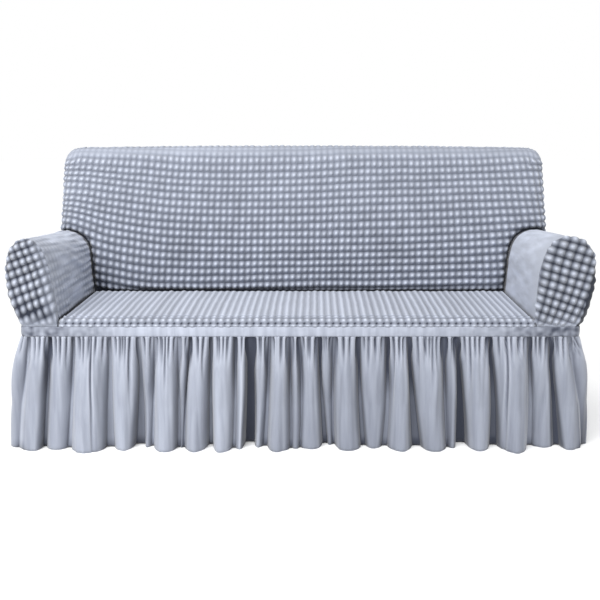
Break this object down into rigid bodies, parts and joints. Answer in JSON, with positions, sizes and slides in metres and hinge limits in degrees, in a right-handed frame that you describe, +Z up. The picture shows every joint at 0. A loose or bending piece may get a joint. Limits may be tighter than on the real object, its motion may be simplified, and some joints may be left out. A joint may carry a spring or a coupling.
{
  "type": "sofa slipcover",
  "caption": "Fitted stretch cover for a sofa with flared arms, in bubble cloth, with a plain band and a gathered skirt to the floor.",
  "frame": {"origin": "middle of the bounding box at floor level, on the hem", "axes": "+X along the sofa to the right seen from the front, +Y towards the rear, +Z up"},
  "size_m": [1.9889, 0.9237, 1.015],
  "materials": {
    "bubble_cloth": "matt stretch seersucker with a grid of puffed bubbles, light bluish grey",
    "plain_cloth": "matt smooth stretch knit, light bluish grey"
  },
  "bodies": {
    "root": {"back_panel": "bubble_cloth", "rear_panel": "bubble_cloth", "seat_panel": "bubble_cloth", "arm_left_panel": "bubble_cloth", "arm_right_panel": "bubble_cloth", "arm_front_left": "bubble_cloth", "arm_front_right": "bubble_cloth", "waistband": "plain_cloth", "skirt_front": "plain_cloth", "skirt_left": "plain_cloth", "skirt_right": "plain_cloth", "skirt_rear": "plain_cloth"}
  },
  "joints": []
}
